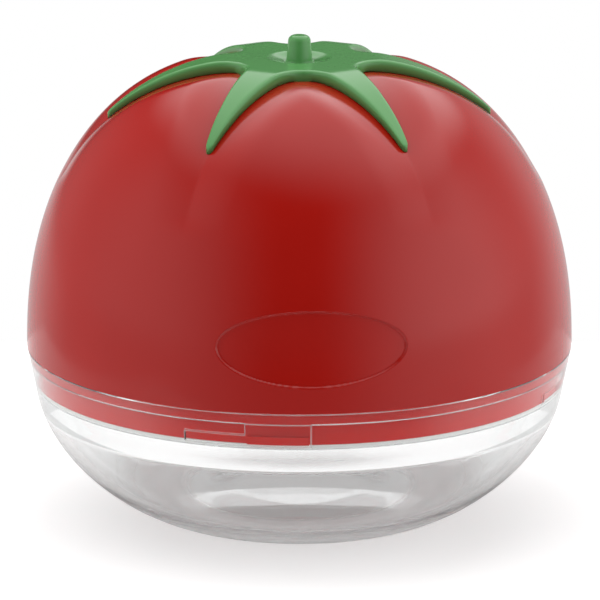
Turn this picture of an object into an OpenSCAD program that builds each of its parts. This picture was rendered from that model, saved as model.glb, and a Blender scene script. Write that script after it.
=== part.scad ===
// Tomato keeper: a clear bowl, a tomato-shaped dome lid that turns to lock, and a green calyx.
// Sizes are in millimetres and degrees. The origin is the middle of the foot, +Z is up.
// Azimuths count from the front, which is -Y, towards +X.

/* [Bowl] */
// Outer diameter of the rim, the same on the bowl and on the dome
rim_d = 114.3; // [100:0.1:140]
// Height of the rim above the table
rim_h = 36; // [32:0.5:50]
// Height of the straight band below the rim
band_h = 10.3; // [9:0.1:13]
// Lean of the band from upright
band_lean = 10.8; // [7:0.1:12]
// How far the outside carries straight on below the band before it bends under
wall_run = 13.9; // [10:0.1:16]
// How far the underside runs level outside the foot
foot_run = 9.2; // [5:0.1:12]
// Diameter of the flat foot
foot_d = 53; // [44:0.5:60]
// Width of the ring that the foot stands on
foot_ring = 5; // [3:0.1:8]
// Depth of the hollow inside that ring
foot_hollow = 0.6; // [0.3:0.1:1.2]
// Thickness of the floor
floor_t = 3.5; // [2.5:0.1:5]
// Diameter of the level floor inside
floor_d = 56; // [46:0.5:62]

/* [Rim and lock] */
// Thickness of the thin lip at the rim
lip_t = 1.85; // [1.4:0.05:2.4]
// Drop from the rim to the ledge inside it
ledge_drop = 2.6; // [2:0.1:3.5]
// Width of the ledge
ledge_w = 2; // [1.7:0.05:2.4]
// Width of the shelf that the seal rests on
shelf_w = 0.9; // [0.6:0.05:1.5]
// Number of lock lugs and slots
lug_count = 4; // [2:1:6]
// Azimuth of the first lug with the lid set on
lug_az = -4.5; // [-20:0.5:20]
// Width of a lug along the skirt
lug_w = 12.4; // [8:0.1:16]
// Height of a lug
lug_h = 1.7; // [1.2:0.1:2.2]
// How far a lug stands out of the skirt
lug_out = 1.3; // [0.9:0.05:1.6]
// Turn from set on to locked
lock_turn = 13.4; // [8:0.1:18]
// Gap at each end of a lug in its slot
slot_end_gap = 0.4; // [0.3:0.05:0.8]
// How much lower and deeper a slot is cut at its entry than along its run
entry_lead = 0.15; // [0.1:0.05:0.3]
// Gap between the lid and the bowl where they pass each other
run_gap = 0.3; // [0.2:0.05:0.4]

/* [Dome lid] */
// Height of the dome from the rim to its crown
dome_h = 59.3; // [50:0.1:72]
// Diameter of the level crown
crown_d = 32.8; // [26:0.1:40]
// Fullness of the shoulder, where 2 is an ellipse
shoulder_fullness = 2.2; // [1.9:0.05:2.6]
// Thickness of the dome's wall
lid_wall = 2.2; // [1.6:0.1:3]
// Depth of the skirt below the rim
skirt_h = 7; // [6:0.1:8]
// Thickness of the skirt
skirt_t = 1.8; // [1.2:0.1:2.4]
// Depth of the furrows that hold the sepals
furrow_depth = 1.7; // [1.3:0.1:2.2]
// Rise of a furrow's two sides from its middle
furrow_lean = 6.8; // [5:0.1:9]
// Distance from the rim's radius to the place where the furrows run out
furrow_stop = 7.8; // [6:0.1:14]
// Width of the bare oval recess at the front
badge_w = 38; // [28:0.5:46]
// Height of the oval recess
badge_h = 15; // [10:0.5:20]
// Depth of the oval recess
badge_depth = 0.6; // [0.3:0.1:1]
// Height of the middle of the oval above the rim
badge_up = 13; // [11:0.5:18]

/* [Calyx] */
// Number of sepals and furrows
sepal_count = 6; // [5:1:7]
// Azimuth of the whole lid pattern, oval and sepals
lid_az = 2.6; // [-10:0.1:10]
// Diameter across the tips of opposite sepals
sepal_span = 79.6; // [66:0.2:88]
// Width of a sepal where it leaves the web
sepal_w = 9.3; // [7:0.1:11]
// Radius of the web between two sepals
web_r = 14; // [12:0.1:15]
// Length over which the web runs out along a sepal
web_fillet = 1.6; // [1.2:0.1:2.4]
// Height of the hub above the dome's crown
hub_rise = 1.3; // [0.8:0.1:2]
// Diameter of the dish in the hub
dish_d = 15.5; // [12:0.5:18]
// Depth of that dish
dish_depth = 1.5; // [0.8:0.1:1.8]
// Diameter of the stem at its foot
stem_d = 5.4; // [4:0.1:7]
// Diameter of the stem at its top
stem_top_d = 4.7; // [3:0.1:5]
// Height of the stem above the dish
stem_h = 6.4; // [5:0.1:10]
// Radius of the stem's rounded top edge
stem_round = 1.2; // [0.6:0.1:1.4]
// Diameter of the peg that holds the calyx in the dome
peg_d = 8; // [6:0.1:10]
// Diameter of the peg's flared end inside the dome
peg_head_d = 10.4; // [9:0.1:14]
// Thickness of the flared end
peg_head_t = 1.2; // [0.8:0.1:2]
// Gap under the calyx
seat_gap = 0.1; // [0.05:0.05:0.2]
// Gap around the hub in its seat
seat_side_gap = 0.3; // [0.2:0.05:0.6]

/* [Seal ring] */
// Thickness of the ring under the skirt
seal_t = 1; // [0.8:0.1:1.4]
// Thickness of the leg inside the skirt
seal_leg_t = 0.8; // [0.6:0.1:1.2]
// Height of the leg above the ring
seal_leg_h = 2.5; // [1.5:0.1:4]

/* [Hidden] */
$fn = 96;
// Points along a curved stretch of a profile
curve_steps = 20;
// Points along one side of a sepal
sepal_steps = 9;
// Points around the oval
oval_steps = 48;
// How far a cutting tool runs past what it cuts
past = 1;
// Height of the wedge that cuts a furrow
wedge_h = 6;

// Rim and lock, from the outside inwards
rim_r = rim_d / 2;
lip_in_r = rim_r - lip_t;
collar_r = lip_in_r - run_gap;
band_in_r = lip_in_r - ledge_w;
skirt_r = band_in_r - run_gap;
skirt_in_r = skirt_r - skirt_t;
lug_r = skirt_r + lug_out;
slot_r = lug_r + run_gap;
shelf_r = band_in_r - shelf_w;
seal_leg_r = skirt_in_r - run_gap;
seal_in_r = seal_leg_r - seal_leg_t;

// Rim and lock, from the rim downwards
ledge_z = rim_h - ledge_drop;
collar_z = ledge_z + run_gap;
skirt_z = rim_h - skirt_h;
seal_z = skirt_z - seal_t;
lug_top_z = skirt_z + lug_h;
slot_z = skirt_z - run_gap;
roof_z = lug_top_z + run_gap;

// Angles that the lugs and slots take up
lug_pitch = 360 / lug_count;
lug_angle = arc_angle(lug_w, lug_r);
slot_gap_angle = arc_angle(slot_end_gap, lug_r);
entry_angle = lug_angle + 2 * slot_gap_angle;
run_angle = entry_angle / 2 + lock_turn;

// The bowl's outside below the band, and its inside below the shelf
band_z = rim_h - band_h;
band_r = rim_r - band_h * tan(band_lean);
lean = [-sin(band_lean), -cos(band_lean)];
outside_curve = smooth_curve([band_r, band_z], lean * wall_run, [foot_d / 2, 0], foot_run);
inside_run = wall_run + seal_z - band_z;
inside_curve = smooth_curve([shelf_r, seal_z], lean * inside_run, [floor_d / 2, floor_t], foot_run);

// The dome's crown, the seat of the hub and the furrows' arc, which meets three points of the dome
crown_r = crown_d / 2;
crown_z = rim_h + dome_h;
peg_r = peg_d / 2;
seat_z = crown_z - furrow_depth - seat_gap;
seat_r = web_r + seat_side_gap;
furrow_end_a = dome_a(rim_r - furrow_stop);
furrow_mid_a = (90 + furrow_end_a) / 2;
furrow_arc = circle_through(
    dome_point(90, 0, -furrow_depth),
    dome_point(furrow_mid_a, -furrow_depth, -furrow_depth),
    dome_point(furrow_end_a, 0, 0));
furrow_c = furrow_arc[0];
furrow_bottom_r = furrow_arc[1];
furrow_from = bearing(dome_point(furrow_end_a, 0, 0) - furrow_c) - 6;
furrow_to = acos((peg_r + past - furrow_c[0]) / furrow_bottom_r);

// The calyx above the crown: its top is an arc that leaves the hub and lies level with the dome
tip_r = sepal_span / 2;
hub_z = crown_z + hub_rise;
sepal_arc = circle_through([web_r, hub_z], dome_point(furrow_mid_a, 0, 0), dome_point(dome_a(tip_r), 0, 0));
dish_z = hub_z - dish_depth;
dish_r = (pow(dish_d / 2, 2) + pow(dish_depth, 2)) / (2 * dish_depth);
peg_foot_z = seat_z - lid_wall - seat_gap;

// Angle of an arc of a given length
function arc_angle(length, radius) = length / radius * 180 / PI;

// Direction of a flat vector, as an angle
function bearing(v) = atan2(v[1], v[0]);

// A cubic curve that leaves a along da and comes level into b from b + [run, 0]
function smooth_curve(a, da, b, run) = [
    for (i = [0 : curve_steps])
        let (t = i / curve_steps, s = 1 - t)
            s * s * s * a + 3 * s * s * t * (a + da) + 3 * s * t * t * (b + [run, 0]) + t * t * t * b
];

// A point of the dome's profile at angle a from the rim to the crown, moved out and up
function dome_point(a, out, up) = [
    crown_r + (rim_r + out - crown_r) * cos(a),
    rim_h + (dome_h + up) * pow(sin(a), 2 / shoulder_fullness)
];

// The angle at which the dome's profile has a radius
function dome_a(r) = acos((r - crown_r) / (rim_r - crown_r));

// The dome's profile from the rim to the crown, moved out and up
function dome_curve(out, up) = [for (i = [0 : curve_steps]) dome_point(90 * i / curve_steps, out, up)];

// Centre and radius of the circle through three points
function circle_through(p, q, s) =
    let (
        u = q - p,
        v = s - p,
        d = 2 * (u[0] * v[1] - u[1] * v[0]),
        c = [v[1] * (u * u) - u[1] * (v * v), u[0] * (v * v) - v[0] * (u * u)] / d
    )
    [p + c, norm(c)];

// Half the width of a sepal at a distance x from the middle of the calyx
function sepal_half(x) =
    let (
        x0 = web_r * cos(180 / sepal_count),
        notch = web_r * sin(180 / sepal_count),
        u = (x - x0) / (tip_r - x0)
    )
    sepal_w / 2 * pow(max(0, 1 - u), 0.75) + (notch - sepal_w / 2) * exp((x0 - x) / web_fillet);

// Distances along a sepal, closer together at the web and at the tip
function sepal_x(i) =
    let (x0 = web_r * cos(180 / sepal_count))
    x0 + (tip_r - x0) * (1 - cos(180 * i / sepal_steps)) / 2;

// Turns what lies along +X to an azimuth counted from the front
module at_azimuth(az) {
    rotate([0, 0, az - 90]) children();
}

// Copies a child at each sepal
module at_sepals() {
    for (i = [0 : sepal_count - 1])
        at_azimuth(lid_az + (i + 0.5) * 360 / sepal_count) children();
}

// A block of a ring between two radii and two heights, centred on +X
module ring_block(r1, r2, z1, z2, angle, turn) {
    rotate([0, 0, turn - angle / 2])
        rotate_extrude(angle = angle)
            translate([r1, z1])
                square([r2 - r1, z2 - z1]);
}

// The slot of one lug: open at the ledge at its entry, and covered along its locked run
module lock_slot() {
    ring_block(skirt_r, slot_r + entry_lead, slot_z - entry_lead, ledge_z + past, entry_angle, 0);
    ring_block(skirt_r - past, slot_r, slot_z, roof_z, run_angle, -run_angle / 2);
}

// The clear bowl, turned in one profile whose seam lies between two slots
module bowl() {
    color([0.93, 0.95, 0.95, 0.35])
        difference() {
            at_azimuth(lug_az + lug_pitch / 2)
                rotate_extrude()
                    polygon(concat(
                        [[lip_in_r, rim_h], [rim_r, rim_h]],
                        outside_curve,
                        [
                            [foot_d / 2 - foot_ring, 0],
                            [foot_d / 2 - foot_ring - foot_hollow, foot_hollow],
                            [0, foot_hollow],
                            [0, floor_t]
                        ],
                        [for (i = [curve_steps : -1 : 0]) inside_curve[i]],
                        [[band_in_r, seal_z], [band_in_r, ledge_z], [lip_in_r, ledge_z]]
                    ));
            for (i = [0 : lug_count - 1])
                at_azimuth(lug_az + i * lug_pitch) lock_slot();
        }
}

// The soft ring under the skirt, with a leg that grips the skirt's inside
module seal_ring() {
    color([0.92, 0.92, 0.9, 0.7])
        rotate_extrude()
            polygon([
                [seal_in_r, seal_z],
                [skirt_r, seal_z],
                [skirt_r, skirt_z],
                [seal_leg_r, skirt_z],
                [seal_leg_r, skirt_z + seal_leg_h],
                [seal_in_r, skirt_z + seal_leg_h]
            ]);
}

// The solid dome above the rim, moved out by grow
module dome_core(grow) {
    rotate_extrude()
        polygon(concat([[0, rim_h]], dome_curve(grow, grow), [[0, crown_z + grow]]));
}

// A wedge bent along the arc of one furrow, which lies along +X, lifted off the furrow's bottom
module furrow_wedge(lift) {
    half = wedge_h / tan(furrow_lean);
    translate([furrow_c[0], 0, furrow_c[1]])
        rotate([90, 0, 0])
            rotate([0, 0, furrow_from])
                rotate_extrude(angle = furrow_to - furrow_from)
                    translate([furrow_bottom_r + lift, 0])
                        polygon([[0, 0], [wedge_h, -half], [wedge_h, half]]);
}

// The shell of the lid: dome, collar and inset skirt in one profile
module lid_shell() {
    inner = dome_curve(-lid_wall, seat_z - lid_wall - crown_z);
    inner_foot_z = rim_h + rim_r - lid_wall - skirt_in_r;
    rotate_extrude()
        polygon(concat(
            [[skirt_in_r, skirt_z], [skirt_r, skirt_z], [skirt_r, collar_z]],
            [[collar_r, collar_z], [collar_r, rim_h]],
            dome_curve(0, 0),
            [[0, crown_z], [0, seat_z - lid_wall]],
            [for (i = [curve_steps : -1 : 0]) if (inner[i][1] > inner_foot_z) inner[i]],
            [[skirt_in_r, rim_h]]
        ));
}

// The lugs on the skirt
module lugs() {
    for (i = [0 : lug_count - 1])
        at_azimuth(lug_az + i * lug_pitch)
            ring_block(skirt_r - skirt_t / 2, lug_r, skirt_z, lug_top_z, lug_angle, 0);
}

// The bare oval recess at the front of the dome
module badge_recess() {
    difference() {
        at_azimuth(lid_az)
            translate([crown_r, 0, rim_h + badge_up])
                rotate([90, 0, 90])
                    linear_extrude(rim_r)
                        polygon([
                            for (i = [0 : oval_steps - 1])
                                let (a = 360 * i / oval_steps)
                                    [badge_w / 2 * cos(a), badge_h / 2 * sin(a)]
                        ]);
        dome_core(-badge_depth);
    }
}

// The red dome lid
module dome_lid() {
    color([0.72, 0.06, 0.05])
        difference() {
            union() {
                lid_shell();
                lugs();
            }
            at_sepals() furrow_wedge(0);
            translate([0, 0, seat_z])
                cylinder(h = dome_h, r = seat_r);
            translate([0, 0, rim_h + dome_h / 2])
                cylinder(h = dome_h, r = peg_r + seat_gap);
            badge_recess();
        }
}

// One sepal along +X: its outline, keeled to fit its furrow and curved along its top
module sepal() {
    intersection() {
        translate([0, 0, rim_h])
            linear_extrude(dome_h + stem_h)
                polygon(concat(
                    [for (k = [0 : sepal_steps]) [sepal_x(k), -sepal_half(sepal_x(k))]],
                    [for (k = [sepal_steps - 1 : -1 : 0]) [sepal_x(k), sepal_half(sepal_x(k))]]
                ));
        furrow_wedge(seat_gap);
        translate([sepal_arc[0][0], 0, sepal_arc[0][1]])
            rotate([90, 0, 0])
                cylinder(h = 2 * web_r, r = sepal_arc[1], center = true);
    }
}

// The round hub with its dish
module hub() {
    difference() {
        translate([0, 0, seat_z + seat_gap])
            cylinder(h = hub_z - seat_z - seat_gap, r = web_r);
        translate([0, 0, dish_z + dish_r])
            sphere(r = dish_r);
    }
}

// The stem, with a round top edge
module stem() {
    top_z = dish_z + stem_h;
    rotate_extrude()
        polygon(concat(
            [[0, dish_z - past], [stem_d / 2, dish_z - past]],
            [
                for (a = [0 : 15 : 90])
                    [stem_top_d / 2 - stem_round * (1 - cos(a)), top_z - stem_round * (1 - sin(a))]
            ],
            [[0, top_z]]
        ));
}

// The green calyx: sepals that lie in the furrows, a dished hub, the stem and a peg through the dome
module calyx() {
    color([0.25, 0.5, 0.26])
        union() {
            hub();
            at_sepals() sepal();
            stem();
            translate([0, 0, peg_foot_z])
                cylinder(h = seat_z + past - peg_foot_z, r = peg_r);
            translate([0, 0, peg_foot_z - peg_head_t])
                cylinder(h = peg_head_t, d = peg_head_d);
        }
}

bowl();
seal_ring();
dome_lid();
calyx();
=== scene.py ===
"""Looks of a tomato keeper, built around its packed frame: clear bowl, seal, red dome lid, green calyx."""

import math

import bmesh
import bpy
import numpy as np
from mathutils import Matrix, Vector


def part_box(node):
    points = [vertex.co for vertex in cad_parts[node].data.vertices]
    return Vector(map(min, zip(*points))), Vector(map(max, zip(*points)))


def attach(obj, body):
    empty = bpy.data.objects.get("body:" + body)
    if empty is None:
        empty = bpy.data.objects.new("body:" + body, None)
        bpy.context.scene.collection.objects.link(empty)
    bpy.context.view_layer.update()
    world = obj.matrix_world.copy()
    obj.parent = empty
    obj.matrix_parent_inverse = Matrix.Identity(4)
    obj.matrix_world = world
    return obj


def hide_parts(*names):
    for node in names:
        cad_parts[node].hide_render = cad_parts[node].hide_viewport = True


bl_info = {
    "name": "Tomato Keeper",
    "version": (1, 0, 0),
    "blender": (4, 5, 0),
    "location": "View3D > Sidebar > Keeper",
    "description": "Builds the bowl, seal, dome lid and calyx of a tomato keeper and the studio around it",
    "category": "Add Mesh",
}

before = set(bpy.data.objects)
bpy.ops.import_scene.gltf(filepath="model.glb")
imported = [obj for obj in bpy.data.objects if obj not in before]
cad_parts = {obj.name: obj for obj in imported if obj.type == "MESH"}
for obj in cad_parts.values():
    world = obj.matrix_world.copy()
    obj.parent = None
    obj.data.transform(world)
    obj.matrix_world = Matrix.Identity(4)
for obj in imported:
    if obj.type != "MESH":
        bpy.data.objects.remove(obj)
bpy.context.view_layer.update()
BOWL_LOW, BOWL_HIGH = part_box("bowl")

# Points closer together than this become one point
MERGE = 1e-6
# Edges that turn by more than this are rounded, in this many steps
SHARP = math.radians(35)
EDGE_STEPS = 2

# Angles between columns: of the bowl, of the seal, of the dome, and of the dome at its oval
BOWL_STEP = math.radians(1.5)
SEAL_STEP = math.radians(2.0)
DOME_STEP = math.radians(0.7)
OVAL_STEP = math.radians(0.2)
# The dome's close columns reach this far past the oval
OVAL_MARGIN = math.radians(3)

# Points along the bowl's outside, inside, floor and foot hollow
OUTSIDE_STEPS, INSIDE_STEPS, FLOOR_STEPS, HOLLOW_STEPS = 36, 40, 6, 12
# The inside leaves its crease this way, for this share of the outside's straight run
CREASE_WAY = (-0.34, -0.94)
CREASE_RUN = 0.72
# A point this far above the crease keeps it sharp
CREASE_LEAD = (0.00001, 0.0002)
# The foot's hollow is level within this share of its radius
HOLLOW_LEVEL = 0.6

# Rows of the dome: flank, rim, calyx's seat, the seat's slope, crown, inside and inner crown
FLANK_ROWS, RIM_ROWS, SEAT_ROWS, SLOPE_ROWS, CROWN_ROWS = 130, 8, 3, 6, 8
INNER_ROWS, INNER_CROWN_ROWS = 40, 5
# The seat's sloped rows, as shares of the slope's width from its middle
SLOPE_SPAN = (-0.4, 0.6)
# A furrow sets in over these angles before and after the end of its bottom
FURROW_BEFORE, FURROW_AFTER = math.radians(5), math.radians(2)

# Cells along a sepal and half across it, rings of the hub above and below, cells of the sampled outline
SEPAL_CELLS, SEPAL_COLUMNS, HUB_RINGS, PEG_RINGS, OUTLINE_CELLS = 60, 9, 70, 4, 240
# Points whose distance to the outline is measured at one time
OUTLINE_CHUNK = 500
# Power by which a sepal narrows towards its tip
SEPAL_TAPER = 0.9
# Softness of the bend where a sepal leaves the hub's top
HUB_SOFT = 0.0002
# A rounded top edge takes up at most this share of a sepal's thickness
EDGE_SHARE = 0.8
# Distances from a sepal's tip between which its top edge turns blunt
BLUNT_FROM, BLUNT_TO = 0.012, 0.002
# Half the width over which the underside goes from the hub's level to the furrows
WEB_BLEND = 0.0005
# Steps of the stem's fillet and of its top edge
FILLET_STEPS, CORNER_STEPS = 5, 6
# Place of the ring on the stem's flat top, as a share of its radius
CAP_SHARE = 0.3

# Refraction of the coloured plastics and of the clear one
PLASTIC_IOR = 1.46
CLEAR_IOR = 1.5
# Noise scales of flow marks, moulded skin, handling haze, painted edge highlights, rubber and floor
FLOW_SCALE, SKIN_SCALE, HAZE_SCALE = 45.0, 900.0, 160.0
PAINTED_HIGHLIGHT_SCALE, RUBBER_SCALE, FLOOR_SCALE = 400.0, 700.0, 30.0
# Darkest and lightest shade of the flow marks, and darkest shade of the haze, milk, painted edge highlights
# and rubber
FLOW_SHADES = (0.94, 1.06)
HAZE_SHADE, MILK_SHADE, PAINTED_HIGHLIGHT_SHADE, RUBBER_SHADE = 0.995, 0.94, 0.95, 0.92
# How much flow marks and moulded skin vary the roughness of coloured plastic
FLOW_GLOSS, SKIN_GLOSS = 0.04, 0.02
# Least share of the clear plastic's roughness, and how much haze adds
CLEAR_LEAST, HAZE_GLOSS = 0.6, 0.8
# Least roughness of the rubber, and how much its grain adds
RUBBER_ROUGH, RUBBER_VARIES = 0.42, 0.16
# Depth of the fine grain in metres, and how much of it shows on plastic and on rubber
GRAIN_DEPTH, PLASTIC_GRAIN, RUBBER_GRAIN = 0.0002, 0.02, 0.1
# The skirt's painted light, a lighter tone than the red, fades in over this height below the rim
SKIRT_PAINTED_LIGHT_FADE = 0.0003
# Milky haze starts at this share of the foot's radius and fades out between these heights
HAZE_START = 0.86
HAZE_LOW, HAZE_HIGH = 0.001, 0.0085
# Share of its tint that light keeps where it passes the clear plastic
PASSING_TINT = 0.97
# Least share of light that passes the painted edge highlights, and how much their grain adds
PAINTED_HIGHLIGHT_PASSING, PAINTED_HIGHLIGHT_VARIES = 0.62, 0.2

# Where the studio's parts begin and end along a view's direction across, back or down
WALL = (0.1, 0.98)
WALL_END = (-0.15, 0.5)
TABLE_END = (0.3, 0.9)
TABLE_EDGE = (-0.02, 0.12)
GAP_BACK = (0.5, 0.9)
GAP_ACROSS = (-0.05, 0.25)
SIDE_LIGHT = (0.35, 1.0)
SKY_RISE = (0.1, 0.9)
BACKDROP = (-0.8, -0.2)
# The sky's light comes from this far up and this far to the front
SKY_UP, SKY_FRONT = 0.8, 0.6
# Least rise of a view for which the panel's place overhead is worked out
PANEL_LOW = 0.05
# Shares of the panel's soft edge that lie inside and outside its outline
PANEL_IN, PANEL_OUT = 0.43, 0.57
# Size and place of the lamp overhead
LAMP_SIZE = (1.1, 1.7)
LAMP_PLACE = (-0.1, 0.6, 0.65)
# Gap between the floor and the foot
FLOOR_DROP = 0.0001
# Lightest shade of the floor's mottle
FLOOR_SHADE = 1.01
# Width round the foot over which the painted light on the floor seen through the bowl grows stronger
FOOT_BLEND = 0.003
# Width of the camera's sensor in millimetres, and its clip distances
SENSOR_W = 36.0
CLIP = (0.05, 20.0)


def length(name, description, default):
    """A length in metres that a user can change."""
    return bpy.props.FloatProperty(
        name=name, description=description, default=default, unit="LENGTH", precision=5
    )


def angle(name, description, degrees):
    """An angle that a user can change."""
    return bpy.props.FloatProperty(
        name=name, description=description, default=math.radians(degrees), subtype="ANGLE"
    )


def number(name, description, default):
    """A plain number that a user can change."""
    return bpy.props.FloatProperty(name=name, description=description, default=default, precision=3)


def count(name, description, default):
    """A whole number that a user can change."""
    return bpy.props.IntProperty(name=name, description=description, default=default, min=1)


def colour(name, description, default):
    """A colour that a user can change."""
    return bpy.props.FloatVectorProperty(
        name=name, description=description, default=default, subtype="COLOR", size=3, min=0.0, max=1.0
    )


class KeeperBowl(bpy.types.PropertyGroup):
    """Sizes of the clear bowl."""

    rim_d: length("Rim", "Outer diameter of the rim", BOWL_HIGH.x - BOWL_LOW.x)
    rim_h: length("Rim height", "Height of the rim above the table", BOWL_HIGH.z)
    rim_gap: length("Rim gap", "Gap between the lip and the dome above it", 0.0001)
    band_h: length("Band", "Height of the straight band below the rim", 0.0103)
    band_lean: angle("Lean", "Lean of the band from upright", 10.8)
    wall_run: length("Wall run", "How far the outside carries straight on below the band", 0.0139)
    foot_run: length("Foot run", "How far the underside runs level outside the foot", 0.0092)
    foot_d: length("Foot", "Diameter of the flat foot", 0.053)
    foot_ring: length("Foot ring", "Width of the ring that the foot stands on", 0.005)
    foot_hollow: length("Foot hollow", "Depth of the hollow inside that ring", 0.0006)
    floor_t: length("Floor", "Thickness of the floor", 0.0035)
    floor_d: length("Floor width", "Diameter of the level floor inside", 0.056)
    inner_drop: length("Straight wall", "How far the inside runs straight down below the seal", 0.005)
    inner_lean: length("Straight wall lean", "How far that straight wall leans in", 0.0003)
    edge: length("Edge", "Radius of the bowl's rounded edges", 0.0002)


class KeeperLock(bpy.types.PropertyGroup):
    """Sizes of the rim and of the lugs and slots that lock the lid."""

    lip_t: length("Lip", "Thickness of the thin lip at the rim", 0.00185)
    ledge_drop: length("Ledge drop", "Drop from the rim to the ledge inside it", 0.0026)
    ledge_w: length("Ledge", "Width of the ledge", 0.002)
    shelf_w: length("Shelf", "Width of the shelf under the seal", 0.0009)
    lugs: count("Lugs", "Number of lugs and slots", 4)
    lug_az: angle("Lug azimuth", "Azimuth of the first lug from the front", -4.5)
    lug_w: length("Lug width", "Width of a lug along the skirt", 0.0124)
    lug_h: length("Lug height", "Height of a lug", 0.0017)
    lug_out: length("Lug reach", "How far a lug stands out of the skirt", 0.0013)
    turn: angle("Lock turn", "Turn from set on to locked", 13.4)
    end_gap: length("End gap", "Gap at each end of a lug in its slot", 0.0004)
    run_gap: length("Running gap", "Gap between lid and bowl where they pass", 0.0003)


class KeeperLid(bpy.types.PropertyGroup):
    """Sizes of the red dome lid."""

    dome_h: length("Dome", "Height of the dome above the rim", 0.0593)
    crown_d: length("Crown", "Diameter of the level crown", 0.0328)
    fullness: number("Fullness", "Fullness of the shoulder, where 2 is an ellipse", 2.2)
    wall: length("Wall", "Thickness of the dome's wall", 0.0022)
    skirt_h: length("Skirt", "Depth of the skirt below the rim", 0.007)
    skirt_t: length("Skirt wall", "Thickness of the skirt", 0.0018)
    furrow_depth: length("Furrow", "Depth of the furrows under the sepals", 0.0017)
    furrow_lean: angle("Furrow sides", "Rise of a furrow's two sides from its middle", 6.8)
    furrow_stop: length("Furrow stop", "Distance from the rim's radius to the end of a furrow", 0.0078)
    furrow_soft: length("Furrow edge", "Softness of a furrow's edges where it is deepest", 0.0006)
    furrow_fade: number("Furrow fade", "How much softer a furrow's edges are where it ends", 2.0)
    seat_soft: length("Seat edge", "Width of the slope around the calyx's seat", 0.0005)
    badge_w: length("Oval", "Width of the bare oval recess", 0.038)
    badge_h: length("Oval height", "Height of the oval recess", 0.015)
    badge_depth: length("Oval depth", "Depth of the oval recess at its edge", 0.0004)
    badge_up: length("Oval place", "Height of the oval's middle above the rim", 0.013)
    badge_soft: length("Oval edge", "Width of the slope around the oval", 0.00035)
    badge_dish: number("Oval dish", "How much deeper the oval's middle is, as a share of its depth", 1.0)
    azimuth: angle("Azimuth", "Azimuth of the oval and of the sepals' pattern", 2.6)
    edge: length("Edge", "Radius of the lid's rounded edges", 0.00025)


class KeeperCalyx(bpy.types.PropertyGroup):
    """Sizes of the green calyx."""

    sepals: count("Sepals", "Number of sepals", 6)
    span: length("Span", "Diameter across the tips of opposite sepals", 0.0796)
    sepal_w: length("Sepal", "Width of a sepal where it leaves the web", 0.0093)
    sepal_round: length("Sepal edge", "Radius of a sepal's rounded top edge", 0.0007)
    tip_round: length("Sepal tip", "Radius of a sepal's blunt tip", 0.0006)
    tip_blunt: number("Blunt tip", "Share of the rounded top edge that a sepal's tip leaves out", 0.7)
    web_r: length("Web", "Radius of the web between two sepals", 0.014)
    web_fillet: length("Web fillet", "Length over which the web runs out along a sepal", 0.0016)
    hub_rise: length("Hub", "Height of the hub above the dome's crown", 0.0013)
    hub_flat_r: length("Hub top", "Radius at which a sepal leaves the hub's level top", 0.0165)
    dish_d: length("Dish", "Diameter of the dish in the hub", 0.0124)
    dish_depth: length("Dish depth", "Depth of the dish", 0.0012)
    dish_soft: length("Dish edge", "Softness of the dish's edge", 0.0003)
    stem_d: length("Stem", "Diameter of the stem at its foot", 0.0054)
    stem_top_d: length("Stem top", "Diameter of the stem at its top", 0.0047)
    stem_h: length("Stem height", "Height of the stem above the dish", 0.0058)
    stem_round: length("Stem edge", "Radius of the stem's top edge", 0.0012)
    stem_fillet: length("Stem fillet", "Radius of the fillet at the stem's foot", 0.0008)
    peg_d: length("Peg", "Diameter of the peg that holds the calyx", 0.008)
    peg_head_d: length("Peg end", "Diameter of the peg's flared end", 0.0104)
    peg_head_t: length("Peg end thickness", "Thickness of the flared end", 0.0012)
    seat_gap: length("Seat gap", "Gap under the calyx", 0.0001)
    side_gap: length("Side gap", "Gap around the hub in its seat", 0.0003)


class KeeperSeal(bpy.types.PropertyGroup):
    """Sizes of the soft ring under the skirt."""

    thick: length("Thickness", "Thickness of the ring under the skirt", 0.001)
    leg_t: length("Leg", "Thickness of the leg inside the skirt", 0.0008)
    leg_h: length("Leg height", "Height of the leg above the ring", 0.0025)
    edge: length("Edge", "Radius of the ring's rounded edges", 0.0002)


class KeeperFinish(bpy.types.PropertyGroup):
    """Colours and gloss of the four plastics."""

    red: colour("Red", "Colour of the dome lid", (0.36, 0.0065, 0.0032))
    # The skirt's colour is painted light: a lighter red for the skirt seen behind the clear band
    skirt: colour("Skirt", "Colour of the lid's thin skirt, which lets light through", (0.67, 0.014, 0.009))
    green: colour("Green", "Colour of the calyx", (0.088, 0.276, 0.083))
    clear: colour("Clear", "Tint of the clear bowl", (0.965, 0.975, 0.975))
    seal: colour("Seal", "Colour of the seal ring", (0.93, 0.93, 0.91))
    red_gloss: number("Red roughness", "Roughness of the red plastic", 0.14)
    green_gloss: number("Green roughness", "Roughness of the green plastic", 0.17)
    clear_gloss: number("Clear roughness", "Roughness of the clear plastic", 0.015)
    base_haze: number("Base haze", "Share of milky haze around the bowl's foot", 0.75)
    # The haze's glow is painted light: an emission that no lamp gives
    painted_haze_glow: number("Haze lift", "Light that the milky haze gathers from inside the plastic", 0.14)


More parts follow.
